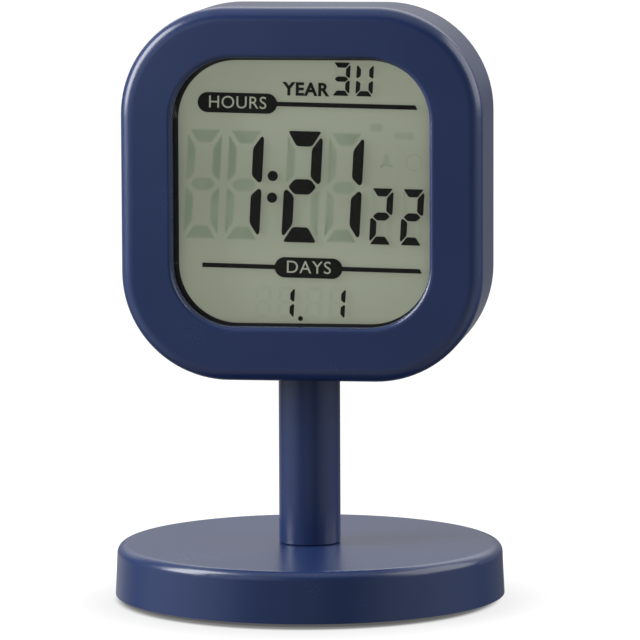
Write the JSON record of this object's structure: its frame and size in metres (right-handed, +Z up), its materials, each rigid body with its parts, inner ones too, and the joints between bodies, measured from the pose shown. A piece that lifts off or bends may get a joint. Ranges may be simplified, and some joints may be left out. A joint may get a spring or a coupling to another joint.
{
  "type": "digital alarm clock",
  "caption": "Free-standing digital alarm clock: a rounded-square head with a recessed LCD on a round post and weighted disc base, with push buttons and a battery door on its back.",
  "frame": {"origin": "centre of the foot pad's underside, on the surface that the clock stands on", "axes": "+Z up; the display faces -Y; +X is on the right of someone who looks at the display"},
  "size_m": [0.076, 0.076, 0.1152],
  "materials": {
    "navy_plastic": "moulded, satin navy",
    "navy_enamel": "satin navy enamel",
    "black_plastic": "moulded, matt black",
    "button_plastic": "moulded, matt dark blue",
    "clear_acrylic": "clear, polished",
    "lcd_glass": "clear, polished",
    "polariser_film": "smooth film",
    "reflector_film": "green-grey diffuse film",
    "lcd_dark": "dark liquid-crystal figures",
    "seal_resin": "cured resin",
    "adhesive_tape": "black double-sided tape",
    "soft_rubber": "matt black foam rubber",
    "zebra_rubber": "layered conductive rubber",
    "board_laminate": "green solder mask",
    "chip_epoxy": "glossy black epoxy",
    "bright_steel": "zinc-plated steel",
    "weight_steel": "plain rolled steel",
    "nickel_strip": "nickel-plated spring strip",
    "cell_sleeve": "printed cell sleeve",
    "buzzer_brass": "rolled brass",
    "piezo_ceramic": "silvered ceramic",
    "capacitor_ceramic": "tan ceramic",
    "wire_sheath": "red insulation"
  },
  "bodies": {
    "clock": {"base_cover": "navy_plastic", "front_case": "navy_plastic", "rear_cover": "navy_plastic", "post": "navy_enamel", "base_plate": "black_plastic", "base_weight": "weight_steel", "foot_pad": "soft_rubber", "base_plate_screws": "bright_steel", "post_screw": "bright_steel", "post_washer": "bright_steel", "head_screw": "bright_steel", "head_washer": "bright_steel", "case_screws": "bright_steel", "board_screws": "bright_steel", "lens_tape": "adhesive_tape", "display_lens": "clear_acrylic", "lcd_holder": "black_plastic", "lcd_polariser": "polariser_film", "lcd_front_glass": "lcd_glass", "lcd_rear_glass": "lcd_glass", "lcd_seal": "seal_resin", "lcd_segments": "lcd_dark", "lcd_reflector": "reflector_film", "zebra_strip": "zebra_rubber", "foam_strip": "soft_rubber", "main_board": "board_laminate", "clock_chip": "chip_epoxy", "quartz_crystal": "bright_steel", "board_capacitors": "capacitor_ceramic", "switch_bodies": "black_plastic", "buzzer_disc": "buzzer_brass", "buzzer_ceramic": "piezo_ceramic", "buzzer_leads": "wire_sheath", "battery_cells": "cell_sleeve", "contact_positive": "nickel_strip", "contact_negative": "nickel_strip", "contact_bridge": "nickel_strip"},
    "mode_key": {"mode_button": "button_plastic", "mode_plunger": "black_plastic"},
    "set_key": {"set_button": "button_plastic", "set_plunger": "black_plastic"},
    "up_key": {"up_button": "button_plastic", "up_plunger": "black_plastic"},
    "down_key": {"down_button": "button_plastic", "down_plunger": "black_plastic"},
    "battery_door": {"battery_door": "navy_plastic"}
  },
  "joints": [
    {"name": "mode_press", "type": "slide", "parent": "clock", "child": "mode_key", "axis": [0, -1, 0], "range_m": [0, 0.0005], "stiffness_N_per_m": 1500},
    {"name": "set_press", "type": "slide", "parent": "clock", "child": "set_key", "axis": [0, -1, 0], "range_m": [0, 0.0005], "stiffness_N_per_m": 1500},
    {"name": "up_press", "type": "slide", "parent": "clock", "child": "up_key", "axis": [0, -1, 0], "range_m": [0, 0.0005], "stiffness_N_per_m": 1500},
    {"name": "down_press", "type": "slide", "parent": "clock", "child": "down_key", "axis": [0, -1, 0], "range_m": [0, 0.0005], "stiffness_N_per_m": 1500},
    {"name": "door_swing", "type": "hinge", "parent": "clock", "child": "battery_door", "pos_m": [0, 0.0108, 0.056], "axis": [-1, 0, 0], "range_deg": [0, 75]}
  ]
}
